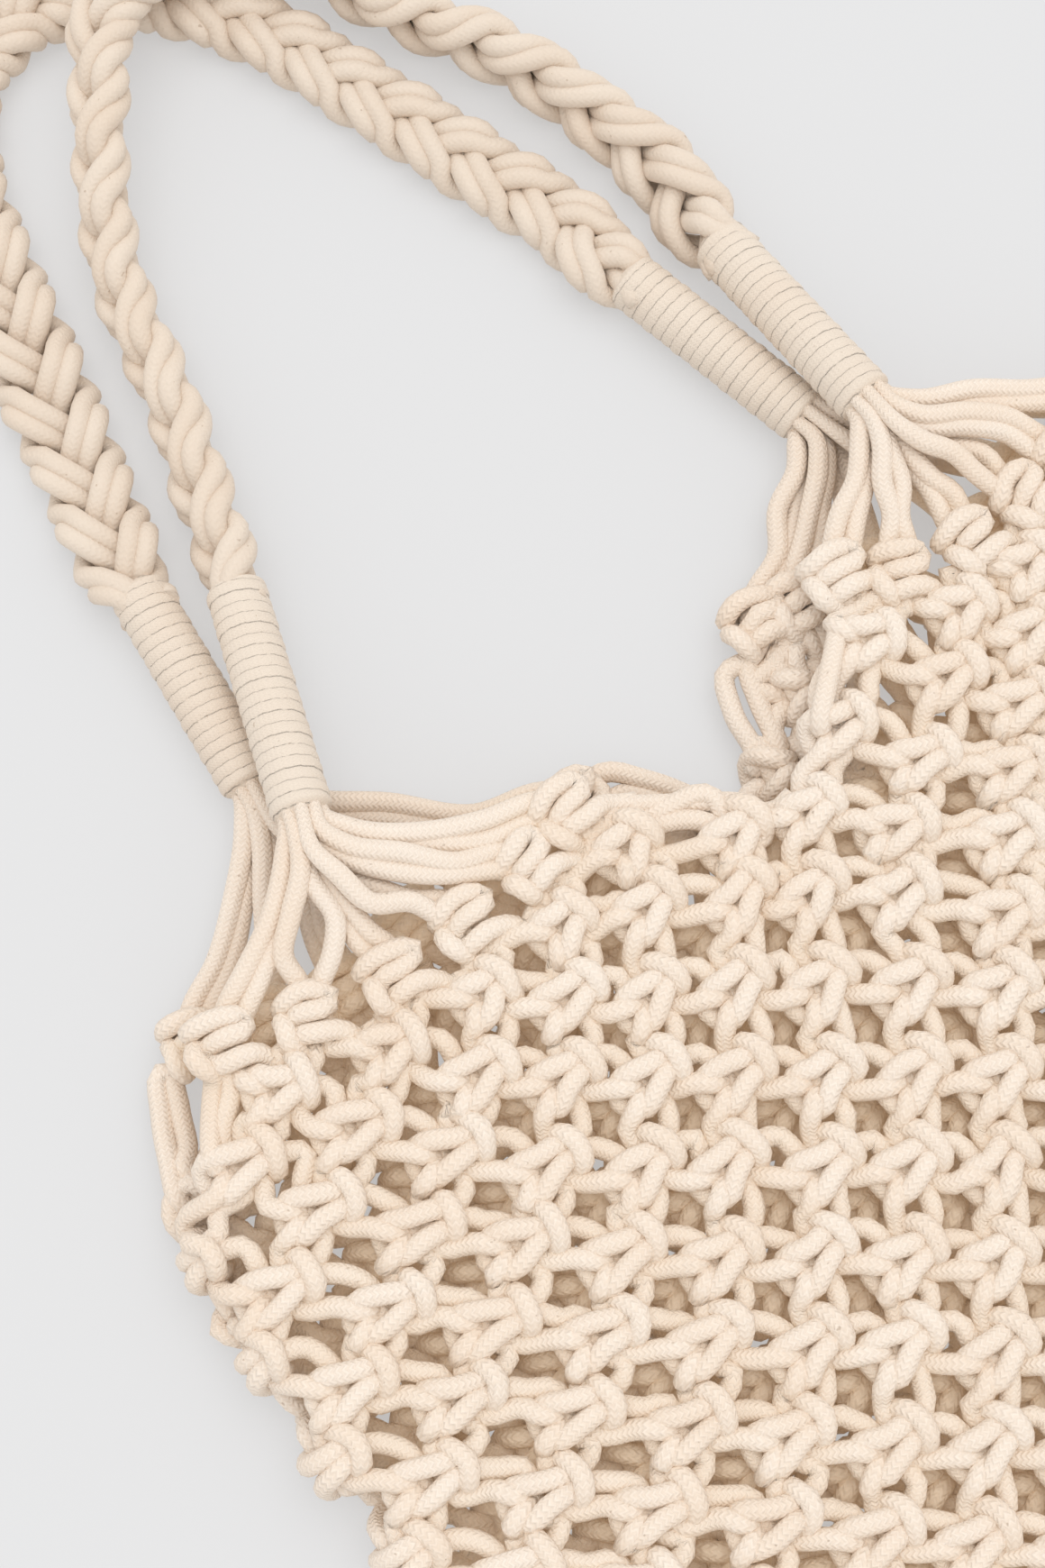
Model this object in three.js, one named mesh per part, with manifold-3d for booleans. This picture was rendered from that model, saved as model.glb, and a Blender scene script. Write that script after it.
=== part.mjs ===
// Macrame beach bag of thick cotton cord, lying flat on its back.
// X runs across the bag, Y from the bottom towards the handles, Z up from the surface it lies on.
import * as THREE from 'three';
import { mergeVertices } from 'three/addons/utils/BufferGeometryUtils.js';
import Module from 'manifold-3d';

const wasm = await Module();
wasm.setup();

// Driving dimensions in millimetres. In the tables y is measured from the level of the handle roots.
const CORD = 5;
const GAP = 0.3;
const ROOT_X = -18;
const ROOT_Y = 50.7;

// The net: knots across one face, rows of knots, and how they are spaced when the bag lies flat.
const HALF_KNOTS = 6;
const LAST_ROW = 20.4;
const ROW_PITCH = 14.2;
const FIRST_ROW_Y = -47.6;
const REGULAR_ROW = 3;
const SIDE_RISE = 16;
const MIDDLE_RISE = { height: 6, share: 0.4, gone_row: 17, fade_rows: 9 };
const SLACK = 5.5;
const WIDTHS = [
  { row: 1, half: 166, middle: 8, back_slide: -12 },
  { row: 3, half: 180, middle: 8, back_slide: -12 },
  { row: 5, half: 188, middle: 12, back_slide: -7 },
  { row: 8, half: 198, middle: 18, back_slide: 0 },
  { row: 14, half: 199, middle: 18, back_slide: 0 },
  { row: 21, half: 188, middle: 18, back_slide: 0 },
];

// Where the first knots sit, by their place across the face: 0 is the middle, 6 the side fold.
const FIRST_KNOTS = {
  front: [
    { place: 0, x: 30, y: -44 },
    { place: 0.5, x: 44, y: -44 },
    { place: 1.5, x: 61, y: -47 },
    { place: 2.5, x: 80, y: -49 },
    { place: 3.5, x: 102, y: -47 },
    { place: 4.5, x: 124, y: -43 },
    { place: 5.5, x: 145, y: -36 },
    { place: 6, x: 160, y: -32 },
  ],
  back: [
    { place: 0, x: 22, y: -34 },
    { place: 0.5, x: 32, y: -33 },
    { place: 1.5, x: 54, y: -36 },
    { place: 2.5, x: 79, y: -38 },
    { place: 3.5, x: 105, y: -37 },
    { place: 4.5, x: 131, y: -33 },
    { place: 5.5, x: 157, y: -27 },
    { place: 6, x: 168, y: -26 },
  ],
};
const KNOT_PLACES = [0.5, 1.5, 2.5, 3.5, 4.5, 5.5];

// The rim of the mouth: rows at which it passes the knots, and the notches in the middle and at the sides.
const RIM_ROW = { notch: 3.3, knots: 0.6 };
const NOTCH_EDGE = { middle: 0.35, side: 5.75 };
const RIM_SAMPLES = 4;

// Heights of the two walls, which meet in a seam along the sides and the bottom.
const SEAM_Z = 15;
const INSIDE_HEIGHT = 9;
const SEAM_THICKNESS = 9;
const FRONT_THICKNESS = { knot: 10.5, cord: 8.5, edge: 7 };
const SEAM_TAPER = { places: 1, rows: 2.5 };

// The cut-through gaps: rows of knots that one gap spans, and its size within the cords around it.
const ROWS_PER_GAP = 2.3;
const GAP_ROWS = 9;
const GAP_SHARE = { corner: 0.6, side: 0.66 };

// Wound roots of the handles: a ridge for each two turns of cord.
const WRAP = { ridge_radius: 8.2, groove_radius: 7.5, end_radius: 6.5, ridges: 8, sides: 9 };
const ROOTS = {
  front_left: { x: -87, y: 3, z: 24.5, top_x: -66, top_y: 56, top_z: 13 },
  front_right: { x: 89, y: 0, z: 23, top_x: 90, top_y: 55, top_z: 12 },
  back_left: { x: -93, y: 13, z: 8.5, top_x: -86, top_y: 73, top_z: 8.5 },
  back_right: { x: 75, y: 5, z: 8.5, top_x: 63, top_y: 62, top_z: 8.5 },
};

// Cords that spread from a root to the first knots, two to a knot.
const FAN = { half_width: CORD, half_height: CORD / 2, sides: 6, steps: 4, bend: 0.38 };
const FAN_HUB = { radius: 7.2, length: 8, sides: 10, cord_start: 3.5 };

// Three-strand braid: radius of a strand, how far it swings, and the length of one crossing.
const BRAID = {
  strand: 4.7, swing: 5.6, lift: 2.5, core: 3.6,
  lead: 9, crossing: 14, steps: 3, sides: 9, phases: 36,
};
const HUMP = { height: 17, half_length: 62, slope_length: 50 };
const HANDLE_ROUTES = {
  front: {
    from: 'front_left',
    to: 'front_right',
    hump_at: [2, 202],
    points: [
      { x: -56, y: 84, roll: 80 },
      { x: -50, y: 102, roll: 88 },
      { x: -40, y: 143, roll: 90 },
      { x: -22, y: 178, roll: 75 },
      { x: 2, y: 202, roll: 40 },
      { x: 28, y: 204, roll: 15 },
      { x: 48, y: 186, roll: 15 },
      { x: 62, y: 160, roll: 30 },
      { x: 77, y: 127, roll: 50 },
      { x: 88, y: 91, roll: 60 },
    ],
  },
  back: {
    from: 'back_left',
    to: 'back_right',
    points: [
      { x: -79, y: 105, roll: 0 },
      { x: -71, y: 131, roll: 0 },
      { x: -61, y: 163, roll: 0 },
      { x: -52, y: 190, roll: 0 },
      { x: -36, y: 208, roll: 0 },
      { x: -14, y: 211, roll: 0 },
      { x: 10, y: 198, roll: 0 },
      { x: 26, y: 175, roll: 0 },
      { x: 40, y: 145, roll: 0 },
      { x: 52, y: 107, roll: 0 },
      { x: 59, y: 80, roll: 0 },
    ],
  },
};

const COTTON = { color: 0xe3d5c0, roughness: 0.95, metalness: 0 };

// Small number helpers.
const clamp01 = (value) => Math.min(1, Math.max(0, value));
const mix = (a, b, share) => a + (b - a) * share;
const ease = (value) => clamp01(value) ** 2 * (3 - 2 * clamp01(value));

function lookUp(table, key, at, column) {
  const next = Math.max(1, table.findIndex((row) => row[key] >= at));
  const [low, high] = table[table.length - 1][key] < at ? table.slice(-2) : [table[next - 1], table[next]];
  return mix(low[column], high[column], (at - low[key]) / (high[key] - low[key]));
}

// Where the net lies, seen from above: place runs from -6 to 6 across a face, row down from the mouth.
function netPoint(face, place, row) {
  const across = Math.abs(place);
  const share = across / HALF_KNOTS;
  const settled = ease((row - 1) / (REGULAR_ROW - 1));
  const regularX = share * lookUp(WIDTHS, 'row', row, 'half') - SLACK * Math.sin(Math.PI * share);
  const stillRaised = ease((MIDDLE_RISE.gone_row - row) / MIDDLE_RISE.fade_rows);
  const middleRise = MIDDLE_RISE.height * stillRaised * Math.max(0, 1 - share / MIDDLE_RISE.share) ** 2;
  const regularY = FIRST_ROW_Y + SIDE_RISE * share ** 4 + middleRise;
  const x = mix(lookUp(FIRST_KNOTS[face], 'place', across, 'x'), regularX, settled);
  const y = mix(lookUp(FIRST_KNOTS[face], 'place', across, 'y'), regularY, settled);
  const slide = face === 'back' ? lookUp(WIDTHS, 'row', row, 'back_slide') * (1 - share ** 2) : 0;
  const middle = lookUp(WIDTHS, 'row', row, 'middle') + slide;
  return new THREE.Vector2(middle + Math.sign(place) * x, y - ROW_PITCH * (row - 1));
}

// How far the walls are apart, from 0 at the seam to 1 inside the bag.
function openShare(place, row) {
  const fromSide = (HALF_KNOTS - Math.abs(place)) / SEAM_TAPER.places;
  const fromBottom = (LAST_ROW - row) / SEAM_TAPER.rows;
  return clamp01(Math.min(fromSide, fromBottom));
}

function wallHeights(face, open, kind) {
  const apart = GAP / 2 + (INSIDE_HEIGHT / 2) * open;
  if (face === 'front') {
    return { bottom: SEAM_Z + apart, top: SEAM_Z + apart + FRONT_THICKNESS[kind] };
  }
  return { bottom: (SEAM_Z - SEAM_THICKNESS) * (1 - open), top: SEAM_Z - apart };
}

// A corner of the net's lattice, level 0 being the rim of the mouth.
function latticeCorner(place, level) {
  if (level > 0) {
    return { place, level, row: Math.min(2 + ROWS_PER_GAP * level, LAST_ROW) };
  }
  const inNotch = place === 0 || Math.abs(place) === HALF_KNOTS;
  return { place, level, row: inNotch ? RIM_ROW.notch : RIM_ROW.knots };
}

function middleOf(a, b) {
  const place = (a.place + b.place) / 2;
  if (a.level > 0 || b.level > 0) {
    return { place, row: (a.row + b.row) / 2 };
  }
  const side = Math.sign(place);
  const reaches = [Math.abs(a.place), Math.abs(b.place)];
  if (reaches.includes(0)) return { place: side * NOTCH_EDGE.middle, row: RIM_ROW.knots };
  if (reaches.includes(HALF_KNOTS)) return { place: side * NOTCH_EDGE.side, row: RIM_ROW.knots };
  return { place, row: RIM_ROW.knots };
}

// Cells of the lattice, each a ring of corners running anticlockwise seen from above.
function latticeCells() {
  const last = GAP_ROWS - 1;
  const isCorner = (place, level) => (place + level) % 2 === 0 && Math.abs(place) <= HALF_KNOTS;
  const cells = [];
  for (let level = 0; level <= last; level += 1) {
    for (let place = -HALF_KNOTS; place <= HALF_KNOTS; place += 1) {
      if (isCorner(place, level)) continue;
      const ring = [
        [place + 1, level],
        [place, level - 1],
        [place - 1, level],
        [place, level + 1],
      ].filter(([p, l]) => Math.abs(p) <= HALF_KNOTS && l >= 0 && l <= last);
      if (ring.length === 2) {
        const fold = [place, level];
        ring.splice(place > 0 ? 0 : 1, 0, fold);
      }
      cells.push(ring.map(([p, l]) => latticeCorner(p, l)));
    }
  }
  return cells;
}

// One wall of the net: every cell is a frame of cords round a gap that goes right through.
function netWall(face) {
  const positions = [];
  const triangles = [];
  const shared = new Map();
  const addPair = (place, row, kind) => {
    const flat = netPoint(face, place, row);
    const heights = wallHeights(face, openShare(place, row), kind);
    const first = positions.length / 3;
    positions.push(flat.x, flat.y, heights.top, flat.x, flat.y, heights.bottom);
    return { top: first, bottom: first + 1, place, row };
  };
  const sharedPair = ({ place, row }, kind) => {
    const name = `${place},${row}`;
    if (!shared.has(name)) shared.set(name, addPair(place, row, kind));
    return shared.get(name);
  };
  const addQuad = (a, b, c, d) => triangles.push(a, b, c, a, c, d);
  const openEdges = new Map();

  for (const corners of latticeCells()) {
    const ring = corners.flatMap((corner, index) => {
      const next = corners[(index + 1) % corners.length];
      return [sharedPair(corner, 'knot'), sharedPair(middleOf(corner, next), 'cord')];
    });
    const centre = {
      place: corners.reduce((sum, corner) => sum + corner.place, 0) / corners.length,
      row: corners.reduce((sum, corner) => sum + corner.row, 0) / corners.length,
    };
    const hole = ring.map((pair, index) => {
      const share = index % 2 === 0 ? GAP_SHARE.corner : GAP_SHARE.side;
      return addPair(mix(centre.place, pair.place, share), mix(centre.row, pair.row, share), 'edge');
    });
    ring.forEach((pair, index) => {
      const next = (index + 1) % ring.length;
      addQuad(pair.top, ring[next].top, hole[next].top, hole[index].top);
      addQuad(ring[next].bottom, pair.bottom, hole[index].bottom, hole[next].bottom);
      addQuad(hole[index].top, hole[next].top, hole[next].bottom, hole[index].bottom);
      const back = `${ring[next].top},${pair.top}`;
      if (!openEdges.delete(back)) openEdges.set(`${pair.top},${ring[next].top}`, [pair, ring[next]]);
    });
  }
  for (const [from, to] of openEdges.values()) {
    addQuad(from.top, from.bottom, to.bottom, to.top);
  }
  return meshGeometry(positions, triangles);
}

function meshGeometry(positions, triangles) {
  const geometry = new THREE.BufferGeometry();
  geometry.setAttribute('position', new THREE.Float32BufferAttribute(positions, 3));
  geometry.setIndex(triangles);
  geometry.computeVertexNormals();
  return geometry;
}

// A closed solid through rings of points that run anticlockwise about the way of travel.
function sweptGeometry(rings) {
  const sides = rings[0].length;
  const positions = rings.flat().flatMap((point) => point.toArray());
  const triangles = [];
  for (let ring = 0; ring + 1 < rings.length; ring += 1) {
    for (let side = 0; side < sides; side += 1) {
      const next = (side + 1) % sides;
      const here = ring * sides;
      const ahead = here + sides;
      triangles.push(here + side, here + next, ahead + next, here + side, ahead + next, ahead + side);
    }
  }
  const lastRing = (rings.length - 1) * sides;
  for (let side = 1; side + 1 < sides; side += 1) {
    triangles.push(0, side + 1, side, lastRing, lastRing + side, lastRing + side + 1);
  }
  return meshGeometry(positions, triangles);
}

// Sideways and upward directions across a path, turned about it by a roll in degrees.
function acrossPath(tangent, rollDegrees = 0) {
  const sideways = new THREE.Vector3(0, 0, 1).cross(tangent).normalize();
  const upward = tangent.clone().cross(sideways);
  const roll = THREE.MathUtils.degToRad(rollDegrees);
  return {
    sideways: sideways.clone().multiplyScalar(Math.cos(roll)).addScaledVector(upward, Math.sin(roll)),
    upward: upward.clone().multiplyScalar(Math.cos(roll)).addScaledVector(sideways, -Math.sin(roll)),
  };
}

// Wound root: a straight rod with a ridge for each pair of turns, placed by its own axis.
function rootEnds(name) {
  const root = ROOTS[name];
  return {
    bottom: new THREE.Vector3(root.x, root.y, root.z),
    top: new THREE.Vector3(root.top_x, root.top_y, root.top_z),
  };
}

function wrapMesh(name) {
  const { bottom, top } = rootEnds(name);
  const length = bottom.distanceTo(top);
  const pitch = length / WRAP.ridges;
  const profile = [new THREE.Vector2(0, 0), new THREE.Vector2(WRAP.end_radius, 0)];
  for (let ridge = 0; ridge < WRAP.ridges; ridge += 1) {
    profile.push(new THREE.Vector2(WRAP.ridge_radius, (ridge + 0.5) * pitch));
    if (ridge + 1 < WRAP.ridges) profile.push(new THREE.Vector2(WRAP.groove_radius, (ridge + 1) * pitch));
  }
  profile.push(new THREE.Vector2(WRAP.end_radius, length), new THREE.Vector2(0, length));
  const mesh = cottonMesh(`wrap_${name}`, new THREE.LatheGeometry(profile, WRAP.sides));
  const axis = top.clone().sub(bottom).normalize();
  mesh.quaternion.setFromUnitVectors(new THREE.Vector3(0, 1, 0), axis);
  mesh.position.copy(bottom);
  return mesh;
}

// The highest point of the mouth's rim under a cord that comes down to it.
function rimTop(face, x, halfWidth) {
  const halfRim = [{ place: NOTCH_EDGE.middle, row: RIM_ROW.knots }]
    .concat([2, 3, 4].map((place) => ({ place, row: RIM_ROW.knots })))
    .concat([{ place: NOTCH_EDGE.side, row: RIM_ROW.knots }, { place: HALF_KNOTS, row: RIM_ROW.notch }]);
  const otherHalf = halfRim.map(({ place, row }) => ({ place: -place, row })).reverse();
  const rim = [...otherHalf, { place: 0, row: RIM_ROW.notch }, ...halfRim]
    .map(({ place, row }) => netPoint(face, place, row));
  const offsets = Array.from({ length: 2 * RIM_SAMPLES + 1 }, (_, index) => index / RIM_SAMPLES - 1);
  return Math.max(...offsets.map((offset) => lookUp(rim, 'x', x + offset * halfWidth, 'y')));
}

function solidOf(geometry) {
  const bare = geometry.clone();
  bare.deleteAttribute('normal');
  bare.deleteAttribute('uv');
  const merged = mergeVertices(bare);
  const vertProperties = new Float32Array(merged.attributes.position.array);
  const triVerts = new Uint32Array(merged.index.array);
  return new wasm.Manifold(new wasm.Mesh({ numProp: 3, vertProperties, triVerts }));
}

function geometryOf(solid) {
  const mesh = solid.getMesh();
  return meshGeometry(Array.from(mesh.vertProperties), Array.from(mesh.triVerts));
}

// A pair of cords from the root to one knot, flat side by side.
function cordPair(start, leaving, end) {
  const reach = start.distanceTo(end) * FAN.bend;
  const arriving = new THREE.Vector3(0, reach, 0);
  const path = new THREE.CubicBezierCurve3(
    start,
    start.clone().addScaledVector(leaving, reach),
    end.clone().add(arriving),
    end,
  );
  const rings = [];
  for (let step = 0; step <= FAN.steps; step += 1) {
    const centre = path.getPoint(step / FAN.steps);
    const { sideways, upward } = acrossPath(path.getTangent(step / FAN.steps));
    rings.push(Array.from({ length: FAN.sides }, (_, side) => {
      const angle = ((side + 0.5) / FAN.sides) * 2 * Math.PI;
      return centre.clone()
        .addScaledVector(sideways, FAN.half_width * Math.cos(angle))
        .addScaledVector(upward, FAN.half_height * Math.sin(angle));
    }));
  }
  return sweptGeometry(rings);
}

// The fan of bare cords under one root, gathered in a short hub below the winding.
function fanMesh(face, hand) {
  const { bottom, top } = rootEnds(`${face}_${hand}`);
  const down = bottom.clone().sub(top).normalize();
  const hub = new THREE.CylinderGeometry(FAN_HUB.radius, FAN_HUB.radius, FAN_HUB.length, FAN_HUB.sides);
  hub.applyQuaternion(new THREE.Quaternion().setFromUnitVectors(new THREE.Vector3(0, 1, 0), down));
  const hubCentre = bottom.clone().addScaledVector(down, GAP + FAN_HUB.length / 2);
  hub.translate(hubCentre.x, hubCentre.y, hubCentre.z);
  const start = bottom.clone().addScaledVector(down, FAN_HUB.cord_start);
  const heights = wallHeights(face, 1, 'edge');
  const height = (heights.top + heights.bottom) / 2;
  let fan = solidOf(hub);
  for (const place of KNOT_PLACES) {
    const { x } = netPoint(face, hand === 'left' ? -place : place, RIM_ROW.knots);
    const end = new THREE.Vector3(x, rimTop(face, x, FAN.half_width) + GAP, height);
    fan = fan.add(solidOf(cordPair(start, down, end)));
  }
  return cottonMesh(`fan_${face}_${hand}`, geometryOf(fan));
}

// Distance from the middle of the braid to its surface, in one direction across it.
function braidRadius(along, angle) {
  const { strand, swing, lift, crossing, core } = BRAID;
  const turn = (2 * Math.PI * along) / (3 * crossing);
  const reaches = [0, 1, 2].map((index) => {
    const phase = turn + (index * 2 * Math.PI) / 3;
    const sideways = swing * Math.sin(phase);
    const upward = lift * Math.sin(2 * phase);
    const ahead = sideways * Math.cos(angle) + upward * Math.sin(angle);
    const beside = upward * Math.cos(angle) - sideways * Math.sin(angle);
    return Math.abs(beside) < strand ? ahead + Math.sqrt(strand ** 2 - beside ** 2) : 0;
  });
  return Math.max(core, ...reaches);
}

// Height of the braid's middle when it lies on the surface, turned about its length by a roll.
function layHeight(rollDegrees) {
  const roll = THREE.MathUtils.degToRad(rollDegrees);
  const reaches = Array.from({ length: BRAID.phases }, (_, index) => {
    const phase = (index / BRAID.phases) * 2 * Math.PI;
    return BRAID.swing * Math.sin(phase) * Math.sin(roll) + BRAID.lift * Math.sin(2 * phase) * Math.cos(roll);
  });
  return BRAID.strand + Math.max(...reaches);
}

// A braided handle laid along its route, raised where it passes over the other one.
function handleMesh(face) {
  const { from, to, hump_at, points } = HANDLE_ROUTES[face];
  const outOfRoot = (name, distance) => {
    const { bottom, top } = rootEnds(name);
    return top.clone().addScaledVector(top.clone().sub(bottom).normalize(), distance);
  };
  const raised = (x, y) => {
    if (!hump_at) return 0;
    const away = Math.hypot(x - hump_at[0], y - hump_at[1]);
    return HUMP.height * ease((HUMP.half_length - away) / HUMP.slope_length);
  };
  const laid = points.map(({ x, y, roll }) => new THREE.Vector3(x, y, layHeight(roll) + raised(x, y)));
  const start = [outOfRoot(from, GAP), outOfRoot(from, BRAID.lead)];
  const end = [outOfRoot(to, BRAID.lead), outOfRoot(to, GAP)];
  const path = new THREE.CatmullRomCurve3([...start, ...laid, ...end], false, 'centripetal');
  const [firstRoll, lastRoll] = [points[0].roll, points[points.length - 1].roll];
  const rolls = [firstRoll, firstRoll, ...points.map((point) => point.roll), lastRoll, lastRoll];
  const length = path.getLength();
  const crossings = Math.round(length / BRAID.crossing);
  const stations = crossings * BRAID.steps;
  const rings = [];
  for (let station = 0; station <= stations; station += 1) {
    const share = station / stations;
    const t = path.getUtoTmapping(share);
    const index = Math.min(Math.floor(t * (rolls.length - 1)), rolls.length - 2);
    const roll = mix(rolls[index], rolls[index + 1], t * (rolls.length - 1) - index);
    const centre = path.getPoint(t);
    centre.z = Math.max(centre.z, layHeight(roll));
    const { sideways, upward } = acrossPath(path.getTangent(t), roll);
    rings.push(Array.from({ length: BRAID.sides }, (_, side) => {
      const angle = (side / BRAID.sides) * 2 * Math.PI;
      const radius = braidRadius(share * crossings * BRAID.crossing, angle);
      return centre.clone()
        .addScaledVector(sideways, radius * Math.cos(angle))
        .addScaledVector(upward, radius * Math.sin(angle));
    }));
  }
  return cottonMesh(`handle_${face}`, sweptGeometry(rings));
}

function cottonMesh(name, geometry) {
  const mesh = new THREE.Mesh(geometry, new THREE.MeshStandardMaterial(COTTON));
  mesh.name = name;
  return mesh;
}

const bag = new THREE.Group();
bag.position.set(ROOT_X, ROOT_Y, 0);
for (const face of ['front', 'back']) {
  bag.add(cottonMesh(`net_${face}`, netWall(face)));
  bag.add(handleMesh(face));
  for (const hand of ['left', 'right']) {
    bag.add(fanMesh(face, hand));
    bag.add(wrapMesh(`${face}_${hand}`));
  }
}

export default bag;
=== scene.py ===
import math

import bpy
import numpy as np
from mathutils import Matrix, Vector


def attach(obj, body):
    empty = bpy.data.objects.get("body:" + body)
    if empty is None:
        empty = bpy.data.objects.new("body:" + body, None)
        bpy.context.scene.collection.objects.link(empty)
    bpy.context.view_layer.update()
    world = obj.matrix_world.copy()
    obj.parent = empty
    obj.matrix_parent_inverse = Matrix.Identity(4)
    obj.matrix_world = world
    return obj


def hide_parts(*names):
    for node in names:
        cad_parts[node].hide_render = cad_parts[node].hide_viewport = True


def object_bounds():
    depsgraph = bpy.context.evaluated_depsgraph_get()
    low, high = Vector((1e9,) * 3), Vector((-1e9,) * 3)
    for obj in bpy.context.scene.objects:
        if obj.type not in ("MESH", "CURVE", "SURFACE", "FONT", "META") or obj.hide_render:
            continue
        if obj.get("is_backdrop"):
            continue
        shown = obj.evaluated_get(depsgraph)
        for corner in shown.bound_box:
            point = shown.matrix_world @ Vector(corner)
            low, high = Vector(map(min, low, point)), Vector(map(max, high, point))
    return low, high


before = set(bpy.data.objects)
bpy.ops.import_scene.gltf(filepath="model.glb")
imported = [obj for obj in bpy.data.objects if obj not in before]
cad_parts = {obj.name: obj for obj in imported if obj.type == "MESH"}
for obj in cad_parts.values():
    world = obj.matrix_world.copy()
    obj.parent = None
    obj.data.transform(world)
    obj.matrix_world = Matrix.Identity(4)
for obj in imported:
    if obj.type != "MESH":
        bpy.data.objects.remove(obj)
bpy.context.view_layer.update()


# The net is the body of the bag. Undyed cotton cord, a braided tube 5 mm thick, is tied in the round in
# rows of square knots: 24 knots go round, four cords to a knot, and each row sits half a knot aside of the
# last. The bag lies on its back, so the front wall lies on the back wall, with a fold along each side.
ROWS = 19
# Steps round the bag, two to a knot, and the knots' places from the middle of a face to each side.
ROUND = 48
HALF_ROUND = ROUND // 2
HALF_FACE = HALF_ROUND // 4
# Sizes are in millimetres. They count from the middle between the handle roots, here in the frame.
ROOT_X, ROOT_Y = -18.0, 50.7
CORD_RADIUS, CORD_SIDES, CORD_SPACING = 2.7, 9, 2.6
# The fold along each side: how high its middle lies, its radius, and how far inside the net's edge it is.
FOLD_Z, FOLD_RADIUS, EDGE_INSET = 13.6, 5.6, 7.5
# At some of its rows: the net's edges, how far its columns of knots reach to both sides of their middle, and
# how far the back wall has slid aside. Columns between hang in a little, and the slide ends at the sides.
WIDTH_ROWS = [1, 3, 5, 8, 12, 14, 21]
LEFT_EDGE = [-160, -178, -182, -185, -186, -186, -172]
RIGHT_EDGE = [162, 190, 204, 216, 218, 218, 206]
COLUMNS_HALF = [160, 183, 190, 195, 196, 196, 186]
COLUMNS_MIDDLE = [8, 8, 10.5, 16.6, 21.5, 22, 22]
COLUMNS_SLACK = 5.5
BACK_SLIDE = [-12, -12, -13, -15, -15, -15, -15]
BACK_SLIDE_FADE = 6
# How far the rows lie below the first one, and how much their middle and their sides are pulled up.
ROW_PITCH = 14.0
DROP_ROWS, ROW_DROPS = [1, 9, 21], [0, 111, 286]
RISE_ROWS, MIDDLE_RISES = [3, 5, 8, 12, 17], [13, 15.5, 8, 5, 0]
MIDDLE_SHARE, MIDDLE_FADE = 0.5, 1.4
SIDE_RISE, SIDE_START, SIDE_SLOPE = 19, 0.55, 0.5
# From the third row on the rows are even, and drop from this height. The first knots hang from the fans, so
# they lie elsewhere: how far aside and how high, at places counted from the middle of a face outwards.
FIRST_EVEN_ROW, EVEN_TOP_Y = 3, -50.5
FIRST_PLACES = [0, 0.5, 1.5, 2.5, 3.5, 4.5, 5.5, 6]
FIRST_X = {
    "front_left": [32, 46, 61, 82, 103, 125, 146, 160],
    "front_right": [30, 44, 57, 74, 92, 110, 128, 142],
    "back_left": [20, 29, 59, 79, 103, 124, 147, 157],
    "back_right": [23, 35, 47, 67, 89, 111, 133, 142],
}
FIRST_Y = {
    "front_left": [-41, -41, -46, -48, -48, -43, -36, -32],
    "front_right": [-33, -35, -43, -47, -48, -46, -40, -36],
    "back_left": [-39, -39, -39, -38, -41, -35, -29, -28],
    "back_right": [-30, -31, -34, -38, -40, -40, -37, -36],
}
chance = np.random.default_rng(11)


def ease(value):
    value = np.clip(value, 0.0, 1.0)
    return value * value * (3.0 - 2.0 * value)


def unit(vector):
    return vector / np.linalg.norm(vector, axis=-1, keepdims=True)


def flat_point(face, place, row):
    """Where the net lies seen from above: place runs from -6 to 6 across a face, row down from the mouth."""
    share = abs(place) / HALF_FACE
    settled = ease((row - 1) / (FIRST_EVEN_ROW - 1))
    corner = f"{face}_{'left' if place < 0 else 'right'}"
    first_x = np.interp(abs(place), FIRST_PLACES, FIRST_X[corner])
    first_y = np.interp(abs(place), FIRST_PLACES, FIRST_Y[corner])
    middle_rise = np.interp(row, RISE_ROWS, MIDDLE_RISES) * max(0.0, 1 - share / MIDDLE_SHARE) ** MIDDLE_FADE
    side_rise = SIDE_RISE * ease((share - SIDE_START) / SIDE_SLOPE)
    x = share * np.interp(row, WIDTH_ROWS, COLUMNS_HALF) - COLUMNS_SLACK * math.sin(math.pi * share)
    x = first_x + (x - first_x) * settled
    y = first_y + (side_rise + middle_rise + EVEN_TOP_Y - first_y) * settled
    middle = np.interp(row, WIDTH_ROWS, COLUMNS_MIDDLE)
    if face == "back":
        middle = middle + np.interp(row, WIDTH_ROWS, BACK_SLIDE) * (1 - share ** BACK_SLIDE_FADE)
    return np.array([middle + np.sign(place) * x, y - np.interp(row, DROP_ROWS, ROW_DROPS)])


def on_wall(face, x, y, row, out):
    """Points of a flat wall, raised by out, with what reaches past its side bent round the fold."""
    left, right = np.interp(row, WIDTH_ROWS, LEFT_EDGE), np.interp(row, WIDTH_ROWS, RIGHT_EDGE)
    middle = (left + right) / 2
    straight = (right - left) / 2 - EDGE_INSET - FOLD_RADIUS
    aside = np.abs(x - middle)
    side = np.sign(x - middle)
    front = 1.0 if face == "front" else -1.0
    turn = np.clip((aside - straight) / FOLD_RADIUS, 0, np.pi)
    beyond = np.maximum(aside - straight - np.pi * FOLD_RADIUS, 0)
    reach = np.minimum(aside, straight) + (FOLD_RADIUS + out) * np.sin(turn) - beyond
    height = FOLD_Z + front * (FOLD_RADIUS + out) * np.cos(turn)
    return np.stack([middle + side * reach + ROOT_X, y + ROOT_Y, height], axis=-1)


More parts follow.
